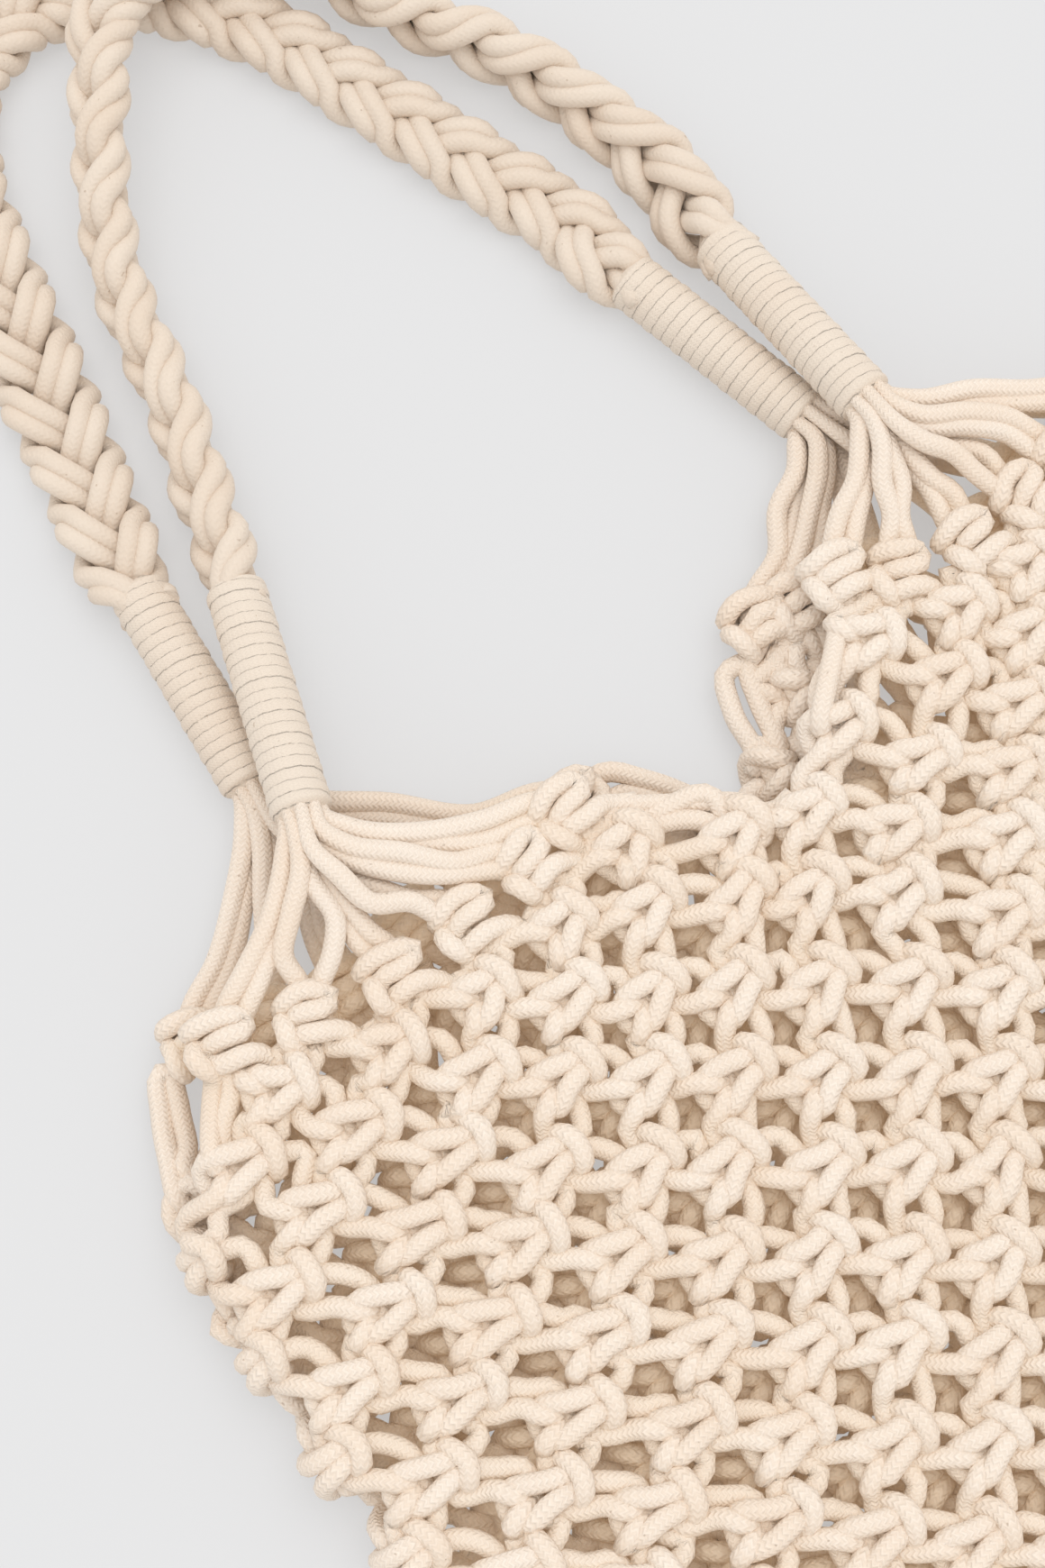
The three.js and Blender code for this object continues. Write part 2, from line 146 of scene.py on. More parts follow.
# How far some knots near the mouth are pulled right and up from their places, by row and step round the bag,
# and how far some first knots are turned to follow their fan's cords, in degrees.
NUDGES = {
    (1, 15): (0, -1.7), (1, 17): (2.4, -2.1), (1, 19): (2.4, -0.2), (1, 29): (6.3, -6.4),
    (2, 2): (-4, 0), (2, 4): (-2.5, -1), (2, 6): (-3, -1), (2, 8): (-2, -2),
    (2, 14): (1, 1), (2, 16): (4, -1),
    (3, 1): (7, 1), (3, 5): (-1, -1), (3, 7): (-3, 0), (3, 9): (-3.5, 1), (3, 11): (-3, -3),
    (3, 13): (5, 2), (3, 15): (7, 0), (3, 35): (2, 5), (3, 37): (-2, 3),
    (4, 8): (-2.5, 0), (4, 10): (1, 0), (4, 14): (1, 0), (5, 13): (-3, 0),
}
KNOT_TURNS = {(1, 17): 20, (1, 19): 25}
# A knot is drawn for one space between knots, and stretched or squeezed within limits where it has another.
FIRST_SPACE, KNOT_SPACE = 20, 33.0
FIRST_WIDTHS, FIRST_HEIGHT = (0.86, 1.0), 0.95
KNOT_WIDTHS, KNOT_HEIGHTS = (0.74, 1.05), (0.9, 1.1)
KNOT_FLATNESS = 0.86
TURN_SCATTER, KNOT_SCATTER = 3, 0.4


class Knot:
    """One square knot: its middle, and its directions right and up as seen from outside the bag."""

    def __init__(self, step, row):
        self.row = row
        self.face = "front" if step <= HALF_ROUND else "back"
        place = step / 2 - HALF_FACE if self.face == "front" else 3 * HALF_FACE - step / 2
        if abs(place) == HALF_FACE:
            right = np.array([KNOT_SPACE, 0.0])
        else:
            right = flat_point(self.face, place + 0.5, row) - flat_point(self.face, place - 0.5, row)
        if self.face == "back":
            right = -right
        up = flat_point(self.face, place, row - 0.5) - flat_point(self.face, place, row + 0.5)
        if row == 1:
            self.wide = np.clip(np.linalg.norm(right) / FIRST_SPACE, *FIRST_WIDTHS)
            self.tall = FIRST_HEIGHT
        else:
            self.wide = np.clip(np.linalg.norm(right) / KNOT_SPACE, *KNOT_WIDTHS)
            self.tall = np.clip(np.linalg.norm(up) / ROW_PITCH, *KNOT_HEIGHTS)
        right = unit(right)
        ahead = np.array([-right[1], right[0]]) if self.face == "front" else np.array([right[1], -right[0]])
        turn = math.radians(chance.normal(0, TURN_SCATTER) + KNOT_TURNS.get((row, step), 0))
        self.right = right * math.cos(turn) + ahead * math.sin(turn)
        self.up = ahead * math.cos(turn) - right * math.sin(turn)
        even = flat_point(self.face, place, row)
        self.middle = even + NUDGES.get((row, step), (0, 0)) + chance.normal(0, KNOT_SCATTER, 2)

    def at(self, points):
        right, up, out = np.asarray(points, float).T
        flat = self.middle + np.outer(right * self.wide, self.right) + np.outer(up * self.tall, self.up)
        row = self.row - up * self.tall / ROW_PITCH
        return on_wall(self.face, flat[:, 0], flat[:, 1], row, out * KNOT_FLATNESS)


# How each of a knot's four cords runs: right of the middle, up, and out of the net.
KNOT_CORDS = {
    "left": [
        (-10.4, 4.8, 2.4), (-7.4, 2.7, 4.0), (-4.9, 1.2, 2.4), (-3.2, 1.2, -1.6), (0, 2.2, -4.8),
        (3.8, 4.2, -2.8), (5.6, 5.2, 0.8), (7.4, 3.6, 4.6), (8.5, 0.2, 5.8), (7.8, -3.0, 4.8),
        (6.2, -4.8, 1.0), (4.2, -4.4, -2.6), (0, -2.8, -4.8), (-3.2, -1.6, -1.6), (-4.9, -1.9, 2.4),
        (-7.4, -3.2, 4.0), (-10.4, -4.8, 2.4),
    ],
    "left_core": [(-2.4, 6.4, 0.2), (-2.2, 0, 0), (-1.2, -5.5, 0)],
    "right_core": [(4.4, 8.8, 0.3), (2.5, 5.4, 0.2), (2.0, 0, 0), (2.2, -5.4, 0)],
    "right": [
        (13.6, 5.4, 0.4), (11.2, 2.6, 0.6), (7.4, 1.5, 1.8), (3.2, 2.0, 4.3), (-1.0, 2.9, 4.9),
        (-5.0, 4.1, 3.8), (-8.2, 3.6, 0.6), (-9.2, 0, -0.8), (-8.2, -3.8, 0.4), (-5.2, -4.9, 3.6),
        (-1.0, -3.5, 4.9), (3.2, -2.2, 4.3), (7.4, -1.6, 1.8), (11.2, -2.2, 0.6), (13.8, -4.2, 0.3),
    ],
}
# The first knots are tied round the fan's cords with a folded cord, which crosses them in three bars. On the
# back wall the bars face into the bag, so the roles of the cords are turned round.
FIRST_CORDS = {
    "left": [
        (5.4, 2.6, -3.4), (3.0, 0.4, -4.6), (-1.5, 0.2, -4.8), (-5.2, 0.6, -2.6), (-7.2, 0.6, 1.4),
        (-7.6, -1.8, 5.0), (-7.0, -5.0, 5.0), (-5.6, -7.4, 1.4), (-5.4, -9.8, -0.4), (-7.4, -12.0, 0.4),
    ],
    "left_core": [(-2.0, 0, -1.0), (-1.9, -5.0, 0), (-1.6, -9.5, 0)],
    "right_core": [(2.0, 0, -1.0), (2.0, -5.0, 0), (2.4, -9.5, 0)],
    "right": [
        (5.4, 2.8, -3.4), (3.0, 5.2, -4.6), (-2.0, 5.4, -4.8), (-5.6, 5.2, -2.6), (-7.0, 4.8, 0.8),
        (-4.4, 5.5, 3.9), (0, 5.6, 5.0), (4.2, 4.9, 4.0), (6.4, 2.6, 2.2), (4.6, 0.3, 4.2),
        (0.6, 0.2, 5.0), (-3.2, -0.1, 3.8), (-5.4, -1.5, 1.4), (-5.6, -3.6, 1.2), (-3.2, -5.1, 3.8),
        (0.6, -5.2, 5.0), (4.4, -5.6, 3.6), (7.2, -7.4, 1.4), (9.4, -10.6, 0.4),
    ],
}
TURNED_ROUND = {"left": "right", "left_core": "right_core", "right_core": "left_core", "right": "left"}
FIRST_WAVER, CORD_WAVER = 0.4, 0.3
# Where each cord goes on in the next row: to the knot a step aside, and as which of its cords.
NEXT_KNOT = {
    "left": (-1, "right_core"),
    "left_core": (-1, "right"),
    "right_core": (1, "left"),
    "right": (1, "left_core"),
}
FIRST_STEPS = {
    "front_left": [1, 3, 5, 7, 9, 11],
    "front_right": [13, 15, 17, 19, 21, 23],
    "back_right": [25, 27, 29, 31, 33, 35],
    "back_left": [37, 39, 41, 43, 45, 47],
}
# The four panels under the handle roots are joined to each other from the fourth row on. In the slits
# between them two cords hang free from the first knot on each side, and some pass the places given here.
UNTIED = [(2, 0), (2, 12), (2, 24), (2, 36)]
SLIT_WAYS = {
    (37, "left"): [(-26.5, -36.5, 8), (-22, -38, 8), (-17, -44, 8), (-11.5, -52, 7), (-8, -61, 6)],
    (37, "left_core"): [(-22.5, -44.5, 7), (-16, -53, 7), (-11, -62, 6)],
    (35, "right"): [(17, -36, 7), (12, -45, 7), (8, -59, 7)],
    (35, "right_core"): [(22.5, -38, 8), (18.8, -46.5, 8), (14, -60.5, 8)],
    (47, "right"): [(-154, -30, 8), (-160, -38, 8), (-165, -48, 9)],
    (47, "right_core"): [(-151, -32, 8), (-156, -40, 8), (-161, -50, 9)],
}

knots = {}
for row in range(1, ROWS + 1):
    for step in range(ROUND):
        if (step + row) % 2 == 0 and (row, step) not in UNTIED:
            knots[row, step] = Knot(step, row)

# The bottom is closed where each cord of one wall meets one of the other, half a knot further on. At each
# side the last two ends meet each other. The cords leave the last knots side by side, and each end, which
# is thinner, is tucked into the cord that it meets.
LAST_PLACES = {"left": -8, "left_core": -2, "right_core": 2, "right": 8}
LAST_DROP, LAST_SINK = -10.5, -4.0
END_RISE, END_SHORT, END_TUCK, TUCKED_SHARE = 3.2, 1.2, 2.8, 0.8
ends = {}
for step in range(1, ROUND, 2):
    for role, place in LAST_PLACES.items():
        ends[step, role] = knots[ROWS, step].at([(place, LAST_DROP, LAST_SINK)])[0]
front_ends = sorted([end for end in ends if end[0] < HALF_ROUND], key=lambda end: ends[end][0])
back_ends = sorted([end for end in ends if end[0] > HALF_ROUND], key=lambda end: ends[end][0])
bottom_spots = {}
for pair in [back_ends[:2], front_ends[-2:], *zip(front_ends[:-2], back_ends[2:])]:
    spot = (ends[pair[0]] + ends[pair[1]]) / 2
    for end in pair:
        bottom_spots[end] = np.array([spot[0], spot[1], FOLD_Z])

# Between two points of a cord's way its curve is worked out in this many parts.
CURVE_PARTS = 8


def smooth_way(points, spacing):
    """Even stations on a smooth curve through points, whose further columns are carried along."""
    points = np.asarray(points, float)
    gaps = np.linalg.norm(np.diff(points[:, :3], axis=0), axis=1)[:, None]
    slopes = np.diff(points, axis=0) / gaps
    bends = (slopes[:-1] * gaps[1:] + slopes[1:] * gaps[:-1]) / (gaps[:-1] + gaps[1:])
    bends = np.vstack([slopes[:1], bends, slopes[-1:]])
    t = np.linspace(0, 1, CURVE_PARTS, endpoint=False)[None, :, None]
    start, end = points[:-1, None], points[1:, None]
    leave, arrive = (bends[:-1] * gaps)[:, None], (bends[1:] * gaps)[:, None]
    curve = start * (2 * t ** 3 - 3 * t ** 2 + 1) + leave * (t ** 3 - 2 * t ** 2 + t)
    curve = curve + end * (3 * t ** 2 - 2 * t ** 3) + arrive * (t ** 3 - t ** 2)
    curve = np.vstack([curve.reshape(-1, points.shape[1]), points[-1:]])
    along = np.linalg.norm(np.diff(curve[:, :3], axis=0), axis=1)
    along = np.concatenate([[0], np.cumsum(along)])
    even = np.linspace(0, along[-1], max(3, round(along[-1] / spacing) + 1))
    return np.stack([np.interp(even, along, column) for column in curve.T], axis=1)


# The inside of the bag, between the two walls, where the cords are given a painted shade and a painted glow:
# how high it is, how far from the net's edges it starts and how softly, where its first row and its end lie,
# and where its mouth lies, with a notch in the middle.
INSIDE_HALF_HEIGHT, INSIDE_INSET, INSIDE_FADE = 11, 5, 14
INSIDE_FIRST_Y, INSIDE_LAST_Y = -50, -310
MOUTH_Y, NOTCH_DEPTH, NOTCH_X, NOTCH_SLOPE, NOTCH_START = -22, 46, 8, 40, 1.4


def depth_in_bag(spots):
    """How far between the walls of the net spots lie: 0 at its outer sides and above the mouth, up to 1."""
    x, y, z = (spots - (ROOT_X, ROOT_Y, 0)).T
    row = 1 - (y - INSIDE_FIRST_Y) / ROW_PITCH
    from_left = x - np.interp(row, WIDTH_ROWS, LEFT_EDGE)
    from_right = np.interp(row, WIDTH_ROWS, RIGHT_EDGE) - x
    from_sides = np.minimum(from_left, from_right) - INSIDE_INSET
    mouth = MOUTH_Y - NOTCH_DEPTH * ease(NOTCH_START - np.abs(x - NOTCH_X) / NOTCH_SLOPE)
    from_rim = np.minimum.reduce([from_sides, mouth - y, y - INSIDE_LAST_Y])
    return np.clip(1 - np.abs(z - FOLD_Z) / INSIDE_HALF_HEIGHT, 0, 1) * ease(from_rim / INSIDE_FADE)


# Meshes are in metres, and a cord's map counts along it in centimetres.
METRE, CENTIMETRE = 1000, 10


def tube_piece(name, tubes, material, node):
    """One mesh of closed tubes. A tube has rings of spots in millimetres and, for each ring, lengths along
    the cord in centimetres and shares round it: one more column than spots, as the last meets the first."""
    spots, faces, rounded, uvs, tones = [], [], [], [], []
    count = 0
    for rings, along, around in tubes:
        stations, sides = rings.shape[:2]
        spots.append(rings.reshape(-1, 3))
        index = count + np.arange(stations * sides).reshape(stations, sides)
        beside = np.roll(index, -1, axis=1)
        quads = np.stack([index[:-1], beside[:-1], beside[1:], index[1:]], axis=-1).reshape(-1, 4)
        faces += quads.tolist() + [index[0, ::-1].tolist(), index[-1].tolist()]
        rounded += [True] * len(quads) + [False, False]
        cord = np.stack([along, around], axis=-1)
        corners = [cord[:-1, :-1], cord[:-1, 1:], cord[1:, 1:], cord[1:, :-1]]
        uvs += [np.stack(corners, axis=2).reshape(-1, 2), cord[0, -2::-1], cord[-1, :-1]]
        tones.append(np.full(stations * sides, chance.uniform(0, 1)))
        count += stations * sides
    mesh = bpy.data.meshes.new(name)
    mesh.from_pydata((np.vstack(spots) / METRE).tolist(), [], faces)
    mesh.uv_layers.new(name="cord").data.foreach_set("uv", np.vstack(uvs).astype(np.float32).ravel())
    tone = mesh.attributes.new("tone", "FLOAT", "POINT")
    tone.data.foreach_set("value", np.concatenate(tones).astype(np.float32))
    # How deep in the bag each spot lies. This sets where the cords get the painted shade and painted glow of
    # the bag's inside.
    depth = mesh.attributes.new("depth", "FLOAT", "POINT")
    depth.data.foreach_set("value", depth_in_bag(np.vstack(spots)).astype(np.float32))
    mesh.polygons.foreach_set("use_smooth", rounded)
    mesh.materials.append(material)
    mesh.update()
    piece = bpy.data.objects.new(name, mesh)
    bpy.context.scene.collection.objects.link(piece)
    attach(piece, "root")
    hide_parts(node)


# A direction that no cord starts in, from which its rings are set out, and the centimetres within which the
# pattern of one cord starts further on than that of another.
RING_START = (0.3, 0.2, 1.0)
PATTERN_SHIFT = 5


def cord_tube(way, radius, sides):
    """Rings of a round cord along a way that stays above the floor, and its cord map."""
    way = way.copy()
    way[:, 2] = np.maximum(way[:, 2], radius)
    ahead = unit(np.gradient(way, axis=0))
    across = np.empty_like(way)
    last = np.cross(ahead[0], RING_START)
    for station, direction in enumerate(ahead):
        last = unit(last - direction * np.dot(last, direction))
        across[station] = last
    over = np.cross(ahead, across)
    share = np.arange(sides + 1) / sides
    angles = share[:-1, None] * 2 * np.pi
    round_way = across[:, None] * np.cos(angles) + over[:, None] * np.sin(angles)
    rings = way[:, None] + np.reshape(radius, (-1, 1, 1)) * round_way
    steps = np.linalg.norm(np.diff(way, axis=0), axis=1)
    along = np.concatenate([[0], np.cumsum(steps)]) / CENTIMETRE + chance.uniform(0, PATTERN_SHIFT)
    return rings, np.repeat(along[:, None], sides + 1, axis=1), np.repeat(share[None], len(way), axis=0)


class Shade:
    """A shader socket, so that sums on it add Math nodes and any other node can be fed from it."""

    def __init__(self, tree, socket=None):
        self.tree = tree
        self.socket = socket

    def node(self, kind, inputs, output=0, **settings):
        made = self.tree.nodes.new(kind)
        for name, setting in settings.items():
            setattr(made, name, setting)
        for name, value in inputs.items():
            if isinstance(value, Shade):
                self.tree.links.new(value.socket, made.inputs[name])
            else:
                made.inputs[name].default_value = value
        return Shade(self.tree, made.outputs[output]) if len(made.outputs) else made

    def math(self, operation, first, second=0.0):
        return self.node("ShaderNodeMath", {0: first, 1: second}, operation=operation)

    def mix(self, first, second):
        """A colour between two others. In a Mix node the colours are sockets 6 and 7, and output 2."""
        colours = {0: self, 6: first, 7: second}
        return self.node("ShaderNodeMix", colours, output=2, data_type="RGBA", clamp_factor=True)

    def __add__(self, other):
        return self.math("ADD", self, other)

    __radd__ = __add__

    def __sub__(self, other):
        return self.math("SUBTRACT", self, other)

    def __rsub__(self, other):
        return self.math("SUBTRACT", other, self)

    def __mul__(self, other):
        return self.math("MULTIPLY", self, other)

    __rmul__ = __mul__


YARNS_ROUND = 8
# Painted shade for the creases between the yarns of the weave.
CREASE_PAINTED_SHADE = (0.52, 0.40, 0.29, 1)
HUSK_COLOUR = (0.28, 0.17, 0.09, 1)
# Painted warm shade and a faint painted glow for the bag's inside, for light that has come through the
# cords.
INSIDE_PAINTED_SHADE = (0.78, 0.65, 0.50, 1)
INSIDE_PAINTED_GLOW = (0.095, 0.068, 0.044, 1)
NO_GLOW = (0, 0, 0, 1)
NAP_TINT = (1.0, 0.95, 0.88, 1)


def cotton(name, light, warm, stitch_length, relief):
    """Undyed cotton cord: a braided sheath in fine chevrons with painted shade in its creases, uneven cream,
    a matt nap and a few dark specks. Inside the bag the cream is painted deeper and warmer, a painted shade,
    and given a faint painted glow, for the light that has come through the cords there."""
    material = bpy.data.materials.new(name)
    material.use_nodes = True
    tree = material.node_tree
    tree.nodes.clear()
    start = Shade(tree)
    where = start.node("ShaderNodeTexCoord", {}, output="Object")
    cord = start.node("ShaderNodeUVMap", {}, uv_map="cord")
    along = start.node("ShaderNodeSeparateXYZ", {0: cord}, output="X")
    around = start.node("ShaderNodeSeparateXYZ", {0: cord}, output="Y")
    tone = start.node("ShaderNodeAttribute", {}, output="Fac", attribute_name="tone")
    depth = start.node("ShaderNodeAttribute", {}, output="Fac", attribute_name="depth")

    column = start.math("FRACT", around * YARNS_ROUND)
    chevron = start.math("ABSOLUTE", column - 0.5) * 2
    stitches = along * (CENTIMETRE / stitch_length) + chevron * 0.6
    stitch = start.math("SINE", stitches * (2 * math.pi)) * 0.5 + 0.5
    yarn = stitch * 0.7 + chevron * 0.3
    # How deep the weave's creases are. There the cream is given painted shade, darker and warmer.
    crease_shade = (1 - yarn) * relief

    clouds = start.node("ShaderNodeTexNoise", {"Vector": where, "Scale": 45.0, "Detail": 3.0})
    fibres = start.node(
        "ShaderNodeTexNoise", {"Vector": where, "Scale": 1400.0, "Detail": 4.0, "Roughness": 0.7}
    )
    husks = start.node("ShaderNodeTexNoise", {"Vector": where, "Scale": 620.0, "Detail": 1.0})
    speck = start.node(
        "ShaderNodeMapRange",
        {"Value": husks, "From Min": 0.745, "From Max": 0.80},
        interpolation_type="SMOOTHSTEP",
    )

    # The cream varies at random, and the creases also push it warmer as painted shade.
    warmth = (clouds - 0.5) * 1.6 + tone * 0.5 + (fibres - 0.5) * 0.3 + crease_shade * 0.35
    colour = warmth.mix(light, warm)
    # Painted shade in the weave's creases.
    colour = (crease_shade * 0.14).mix(colour, CREASE_PAINTED_SHADE)
    colour = (speck * 0.4).mix(colour, HUSK_COLOUR)
    # Inside the bag the cream is painted deeper and warmer: painted shade.
    colour = depth.mix(colour, INSIDE_PAINTED_SHADE)
    height = yarn * (0.8 * relief) + fibres * 0.5
    bump = start.node(
        "ShaderNodeBump", {"Height": height, "Strength": 0.9, "Distance": 0.0004}, output="Normal"
    )
    surface = start.node(
        "ShaderNodeBsdfPrincipled",
        {
            "Base Color": colour, "Roughness": 0.92, "Normal": bump, "Specular IOR Level": 0.12,
            "Sheen Weight": 0.2, "Sheen Roughness": 0.5, "Sheen Tint": NAP_TINT,
            # A faint painted glow inside the bag, for light that has come through the cords.
            "Emission Color": depth.mix(NO_GLOW, INSIDE_PAINTED_GLOW), "Emission Strength": 1.0,
        },
    )
    start.node("ShaderNodeOutputMaterial", {"Surface": surface})
    material.cycles.emission_sampling = "NONE"
    return material


net_cotton = cotton(
    "net_cotton", light=(0.88, 0.775, 0.67, 1), warm=(0.84, 0.70, 0.57, 1),
    stitch_length=1.45, relief=1.0,
)

for corner, first_steps in FIRST_STEPS.items():
    face = corner.split("_")[0]
    tubes = []
    for first_step in first_steps:
        for first_role in KNOT_CORDS:
            step, role = first_step, first_role
            if face == "front":
                run = np.array(FIRST_CORDS[role])
            else:
                run = np.array(FIRST_CORDS[TURNED_ROUND[role]]) * (-1, 1, -1)
            # A cord with places in a slit leaves its first knot early to reach them.
            hanging = np.array(SLIT_WAYS.get((first_step, first_role), np.empty((0, 3))))
            if len(hanging):
                run = run[:-1 if "core" in role else -2]
            points = [knots[1, step].at(run + chance.normal(0, FIRST_WAVER, run.shape))]
            untied = False
            for row in range(2, ROWS + 1):
                aside, role = NEXT_KNOT[role]
                step = (step + aside) % ROUND
                if (row, step) in UNTIED:
                    untied = True
                    points.append(hanging + (ROOT_X, ROOT_Y, 0))
                    continue
                # Past a slit a cord that isn't a core comes to its knot without the first bend.
                run = np.array(KNOT_CORDS[role][2 if untied and "core" not in role else 0:])
                points.append(knots[row, step].at(run + chance.normal(0, CORD_WAVER, run.shape)))
                untied = False
            above = np.array([0, 0, 1.0 if step < HALF_ROUND else -1.0])
            spot = bottom_spots[step, role]
            points.append([spot + above * END_RISE + (0, END_SHORT, 0), spot - above * END_TUCK])
            way = smooth_way(np.vstack(points), CORD_SPACING)
            radii = np.full(len(way), CORD_RADIUS)
            radii[-1] *= TUCKED_SHARE
            tubes.append(cord_tube(way, radii, CORD_SIDES))
    tube_piece(f"net_cords_{corner}", tubes, net_cotton, f"net_{face}")


# The fans are the same cords left bare. Twelve leave each handle root in a bundle and spread out, two to
# each of the first knots, where they end inside the knot as its core.
FAN_SIDES, FAN_SPACING = 12, 2.2
FAN_RADIUS, PRESSED_RADIUS = 2.65, 1.8
UPRIGHT = (0, 0, 1.0)
# The lower and the upper end of each handle root.
ROOTS = {
    "front_left": ((-89.9, -4.4, 25.5), (-67, 56.4, 13)),
    "front_right": ((85.4, -6.3, 24), (86.6, 54.7, 12)),
    "back_left": ((-94, 13, 8.5), (-86.4, 73, 8.5)),
    "back_right": ((75.3, 3.1, 8.5), (63, 62.2, 8.5)),
}
# For each fan: how wide its bundle is spread in the wrap, the share of that where it leaves the wrap, how
# much its cords still point along the wrap as they turn to their knots, and how much they sag.
FANS = {
    "front_left": {"width": 0.95, "leaving": 0.95, "drop": 0.7, "sag": 0.08},
    "front_right": {"width": 1.0, "leaving": 0.95, "drop": 0.4, "sag": 0.03},
    "back_left": {"width": 0.85, "leaving": 0.95, "drop": 0.7, "sag": 0.08},
    "back_right": {"width": 1.1, "leaving": 1.15, "drop": 0.3, "sag": 0.02},
}
# The cords start inside the wrap. The outer ones leave the bundle first and each next one later, and all
# turn in a knee. The two to a knot come into it side by side.
FAN_TUCK, FAN_LEAVE, LEAVE_STEP, FAN_KNEE = 10, 1.0, 2.0, 8
ENTRY_LENGTH, ENTRY_APART, CORE_APART = 7, 2.2, 1.9
# How far the two cords to a first knot bow apart, and how far both arch to their left, by the knot's step.
FAN_BOWS = {3: 4.5, 19: 1.2}
FAN_ARCHES = {17: 1.0, 19: 2.8, 21: 4.2, 23: 1.5}
BOW_SHARE, BOW_PARTS, FAN_WAVER = 0.9, (0.33, 0.67), 0.8


def root_ends(corner):
    return [np.array(end) + (ROOT_X, ROOT_Y, 0) for end in ROOTS[corner]]


def cord_ring(cords, reach, first_angle):
    """Places of cords set evenly in a ring: the real part is to the right, the imaginary part up."""
    return reach * np.exp(1j * np.radians(first_angle + 360 / cords * np.arange(cords)))


# Nine cords of a bundle lie round three. They are counted from left to right.
bundle = np.concatenate([
    cord_ring(cords=9, reach=5.0, first_angle=90),
    cord_ring(cords=3, reach=2.0, first_angle=30),
])
bundle = sorted(bundle, key=lambda place: (round(place.real, 3), place.imag))
middle_order = (len(bundle) - 1) / 2

for corner, steps in FIRST_STEPS.items():
    fan = FANS[corner]
    bottom, top = root_ends(corner)
    down = unit(bottom - top)
    aside = unit(np.cross(-down, UPRIGHT))
    over = np.cross(aside, -down)
    left_to_right = sorted(steps, key=lambda step: knots[1, step].middle[0])
    tubes = []
    for order, place in enumerate(bundle):
        step = left_to_right[order // 2]
        beside = (aside * place.real + over * place.imag) * fan["width"]
        later = LEAVE_STEP * (middle_order - abs(order - middle_order))
        leave = bottom + down * (FAN_LEAVE + later) + beside * fan["leaving"]
        core = knots[1, step].at([(0, 0, 0)])[0]
        toward = unit(core - leave)
        leftward = np.cross(UPRIGHT, toward)
        apart = leftward if order % 2 else -leftward
        knee = leave + FAN_KNEE * unit(fan["drop"] * down + toward)
        entry = core - toward * ENTRY_LENGTH + apart * ENTRY_APART
        sag = fan["sag"] * np.linalg.norm(entry - knee)
        bend = down * sag + apart * FAN_BOWS.get(step, 0.0) + leftward * FAN_ARCHES.get(step, 0.0)
        waver = leftward * chance.normal(0, FAN_WAVER)
        third, further = [knee + (entry - knee) * part + bend * BOW_SHARE for part in BOW_PARTS]
        inside = core + toward + apart * CORE_APART
        points = [bottom - down * FAN_TUCK + beside, bottom + beside, leave, knee]
        points += [third + waver, further - waver, entry, inside]
        radii = np.full((len(points), 1), FAN_RADIUS)
        radii[:3, 0] = PRESSED_RADIUS, PRESSED_RADIUS, (PRESSED_RADIUS + FAN_RADIUS) / 2
        way = smooth_way(np.hstack([points, radii]), FAN_SPACING)
        tubes.append(cord_tube(way[:, :3], way[:, 3], FAN_SIDES))
    tube_piece(f"fan_cords_{corner}", tubes, net_cotton, f"fan_{corner}")


# Each wrap binds a handle root, a bundle of the fan's and the handle's cords. It is one cotton cord, wound
# tightly round the bundle in some nineteen turns, so that it lies flat and its turns touch.
wrap_cotton = cotton(
    "wrap_cotton", light=(0.77, 0.67, 0.565, 1), warm=(0.74, 0.615, 0.50, 1),
    stitch_length=1.3, relief=0.35,
)
WRAP_REACH, WRAP_PITCH, WRAP_SIDES, TURN_STATIONS = 7.7, 3.15, 48, 12
# How deep the grooves between turns are, how uneven the turns are and how that changes from turn to turn,
# over what length the ends are rounded in, and how far. Half of the cord's yarns show on a turn.
WRAP_GROOVE, TURN_UNEVEN, TURN_CHANGE = 0.25, 0.1, 2.4
WRAP_END, WRAP_END_INSET = 2.4, 2.2
YARNS_SHARE = 0.5
for corner in ROOTS:
    bottom, top = root_ends(corner)
    axis = unit(top - bottom)
    across = unit(np.cross(axis, UPRIGHT))
    over = np.cross(across, axis)
    length = np.linalg.norm(top - bottom)
    lift = np.linspace(0, length, round(length / WRAP_PITCH) * TURN_STATIONS)[:, None]
    share = np.arange(WRAP_SIDES + 1)[None] / WRAP_SIDES
    turns = lift / WRAP_PITCH - share
    turn_number = np.floor(turns)
    hollow = (0.5 + 0.5 * np.cos(turns * 2 * np.pi)) ** 2
    from_end = np.minimum(lift, length - lift)
    reach = WRAP_REACH + TURN_UNEVEN * np.sin(turn_number * TURN_CHANGE) - WRAP_GROOVE * hollow
    reach = reach - WRAP_END_INSET * (1 - ease(from_end / WRAP_END)) ** 2
    angle = share * 2 * np.pi
    rings = bottom + lift[..., None] * axis + (reach * np.cos(angle))[..., None] * across
    rings = (rings + (reach * np.sin(angle))[..., None] * over)[:, :-1]
    along = (turn_number + share) * 2 * np.pi * WRAP_REACH / CENTIMETRE
    winding = (rings, along, turns * YARNS_SHARE)
    tube_piece(f"wrap_cord_{corner}", [winding], wrap_cotton, f"wrap_{corner}")


# The handles are three-strand braids of cotton cord, each strand two cords laid side by side, and their
# ends are bound into the wraps. The back one lies flat. The front one leans on its edge and passes over it.
handle_cotton = cotton(
    "handle_cotton", light=(0.75, 0.645, 0.54, 1), warm=(0.71, 0.585, 0.47, 1),
    stitch_length=1.45, relief=0.35,
)
HANDLE_RADIUS, HANDLE_SIDES, HANDLE_SPACING = 2.9, 12, 2.0
# How far a strand's two cords lie from its middle, how far a strand swings to the sides and up, and how long
# the braid is from crossing to crossing.
STRANDS, PAIR = 3, 2.2
SWING, LIFT, CROSSING = 5.7, 3.1, 18.0
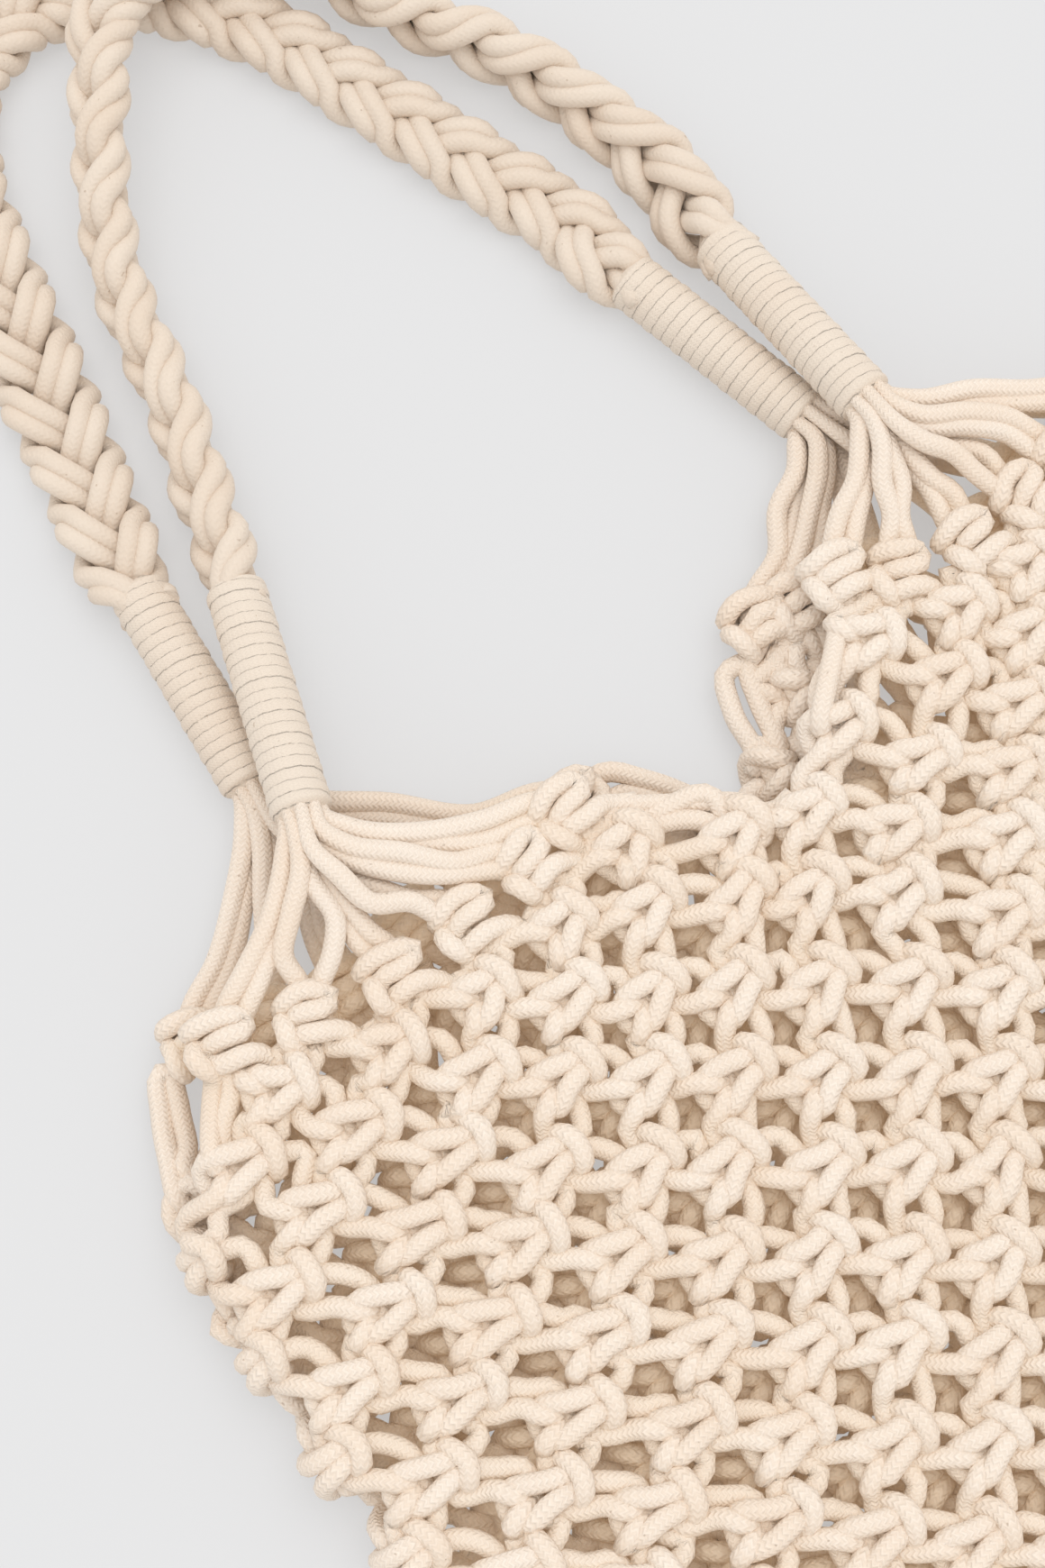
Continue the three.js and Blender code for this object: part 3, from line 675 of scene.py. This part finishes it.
# The braid starts inside the wrap, leaves it straight, and is drawn in there to this share of its width.
HANDLE_TUCK, LEAD = 8, 9.0
DRAWN_IN, DRAWN_LENGTH, DRAWN_SLOPE = 0.6, 6, 8
# Where the front braid is raised to pass over the back one.
HUMP_AT, HUMP_HEIGHT, HUMP_HALF_LENGTH, HUMP_SLOPE = (6, 203), 14.0, 62.0, 50.0
# How round each braid is: its pairs of cords face up in a flat one, and out to all sides in a round one.
ROUNDNESS = {"front": 0.8, "back": 0.25}
# How much of a crossing each braid starts with at its left root.
FIRST_CROSSING = {"front": 0.5, "back": 0.0}
# Each row: across, up, how far the braid is turned about its length in degrees, and how wide it is pulled.
HANDLE_ROUTES = {
    "front": [
        (-57.4, 84.7, -64, 1.15), (-51.1, 102.5, -68, 1.1), (-40.4, 143.2, -70, 1.1),
        (-20.2, 176.7, -62, 1.1), (2, 200.5, -10, 1.1), (23.5, 202, 50, 1.15), (46.4, 187, 92, 1.25),
        (60.6, 160.1, 96, 1.3), (77.2, 126.9, 80, 1.25), (85.9, 93.5, 55, 1.15), (88.2, 78.5, 45, 1.35),
    ],
    "back": [
        (-79.5, 105.2, 0, 1.42), (-73, 132, 0, 1.58), (-64.4, 164.3, 0, 1.35), (-55.1, 191.9, 0, 1.15),
        (-38.8, 213.4, 0, 1.15), (-12, 218.6, 0, 1.15), (14, 202.8, 0, 1.1), (30.6, 177.6, 0, 1.08),
        (41.6, 145.5, 0, 1.1), (53.4, 107.4, 0, 1.18), (61.3, 80.9, 0, 1.2),
    ],
}
# At how many points of a strand's swing the braid's reach is taken.
SWING_POINTS = 36


def lay_height(roll):
    """Height of the braid's middle when it lies turned about its length by roll degrees."""
    phase = np.linspace(0, 2 * np.pi, SWING_POINTS, endpoint=False)
    tilt = np.radians(roll)
    reach = SWING * np.sin(phase) * np.sin(tilt) + LIFT * np.sin(2 * phase) * np.cos(tilt)
    return HANDLE_RADIUS + PAIR * abs(np.sin(tilt)) + reach.max()


for face, route in HANDLE_ROUTES.items():
    left_bottom, left_top = root_ends(f"{face}_left")
    right_bottom, right_top = root_ends(f"{face}_right")
    left_way, right_way = unit(left_top - left_bottom), unit(right_top - right_bottom)
    points = [(*(left_top + left_way * out), *route[0][2:]) for out in (-HANDLE_TUCK, LEAD)]
    for x, y, roll, width in route:
        raised = 0.0
        if face == "front":
            away = math.hypot(x - HUMP_AT[0], y - HUMP_AT[1])
            raised = HUMP_HEIGHT * ease((HUMP_HALF_LENGTH - away) / HUMP_SLOPE)
        points.append((x + ROOT_X, y + ROOT_Y, lay_height(roll) + raised, roll, width))
    points += [(*(right_top + right_way * out), *route[-1][2:]) for out in (LEAD, -HANDLE_TUCK)]
    line = smooth_way(points, HANDLE_SPACING)
    middle, roll, width = line[:, :3], np.radians(line[:, 3:4]), line[:, 4:]
    ahead = unit(np.gradient(middle, axis=0))
    flat = unit(np.cross(UPRIGHT, ahead))
    high = np.cross(ahead, flat)
    sideways = flat * np.cos(roll) + high * np.sin(roll)
    upward = high * np.cos(roll) - flat * np.sin(roll)
    along = np.concatenate([[0], np.cumsum(np.linalg.norm(np.diff(middle, axis=0), axis=1))])
    first = FIRST_CROSSING[face]
    crossings = first + along / along[-1] * (round(along[-1] / CROSSING) - first)
    from_end = np.minimum(along, along[-1] - along)
    drawn = (DRAWN_IN + (1 - DRAWN_IN) * ease((from_end - DRAWN_LENGTH) / DRAWN_SLOPE))[:, None]
    tubes = []
    for strand in range(STRANDS):
        phase = (crossings / STRANDS + strand / STRANDS)[:, None] * 2 * np.pi
        strand_way = middle + sideways * SWING * width * np.sin(phase) * drawn
        strand_way = strand_way + upward * LIFT * width * np.sin(2 * phase)
        strand_ahead = unit(np.gradient(strand_way, axis=0))
        outward = sideways * ROUNDNESS[face] + upward * 2 * np.cos(phase)
        beside = unit(np.cross(outward, strand_ahead))
        for offset in (-PAIR, PAIR):
            tubes.append(cord_tube(strand_way + beside * offset * drawn, HANDLE_RADIUS, HANDLE_SIDES))
    tube_piece(f"handle_braid_{face}", tubes, handle_cotton, f"handle_{face}")


# The stage is a plain pale floor that glows a little, a broad soft light high on the right, and even light
# from the whole room. Its sizes and the camera's place are in metres.
FLOOR_SIZE = 8.0
FLOOR_FINISH = {
    "Base Color": (0.32, 0.32, 0.322, 1), "Roughness": 0.95, "Specular IOR Level": 0.0,
    "Emission Color": (1.0, 1.0, 1.005, 1), "Emission Strength": 0.411,
}
KEY_PLACE, KEY_ANGLE, KEY_ENERGY = (0.22, 0.2, 1.4), 60, 0.9
ROOM_LIGHT, ROOM_STRENGTH = (1.0, 1.0, 1.0, 1), 0.98
bpy.ops.object.select_all(action="DESELECT")
bpy.ops.mesh.primitive_plane_add(size=FLOOR_SIZE)
floor = bpy.context.object
floor.name = "floor"
pale = bpy.data.materials.new("pale_floor")
pale.use_nodes = True
for socket, value in FLOOR_FINISH.items():
    pale.node_tree.nodes["Principled BSDF"].inputs[socket].default_value = value
floor.data.materials.append(pale)
floor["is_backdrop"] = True

bpy.ops.object.light_add(type="SUN", location=KEY_PLACE)
key = bpy.context.object
key.name = "key_light"
key.data.angle = math.radians(KEY_ANGLE)
key.data.energy = KEY_ENERGY
key.rotation_euler = (-key.location).to_track_quat("-Z", "Y").to_euler()
world = bpy.data.worlds.new("room")
world.use_nodes = True
world.node_tree.nodes["Background"].inputs["Color"].default_value = ROOM_LIGHT
world.node_tree.nodes["Background"].inputs["Strength"].default_value = ROOM_STRENGTH
bpy.context.scene.world = world
bpy.context.scene.view_settings.view_transform = "Standard"

# The camera looks down on the bag from 13 degrees off the upright, turned so that the bag runs up to the
# right.
CAMERA_TURN, CAMERA_TILT = math.radians(38), math.radians(13)
CAMERA_PLACE = (-0.15787, -0.10339, 0.704885)
camera = bpy.data.cameras.new("camera")
camera.sensor_width = 36.0
camera.lens = 66.2
camera_object = bpy.data.objects.new("camera", camera)
bpy.context.scene.collection.objects.link(camera_object)
rightward = Vector((math.cos(CAMERA_TURN), -math.sin(CAMERA_TURN), 0))
ahead = Vector((math.sin(CAMERA_TURN), math.cos(CAMERA_TURN), 0))
upward = ahead * math.cos(CAMERA_TILT) + Vector((0, 0, math.sin(CAMERA_TILT)))
backward = rightward.cross(upward)
view = Matrix((rightward, upward, backward)).transposed().to_4x4()
view.translation = Vector(CAMERA_PLACE)
camera_object.matrix_world = view
bpy.context.scene.camera = camera_object

low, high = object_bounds()
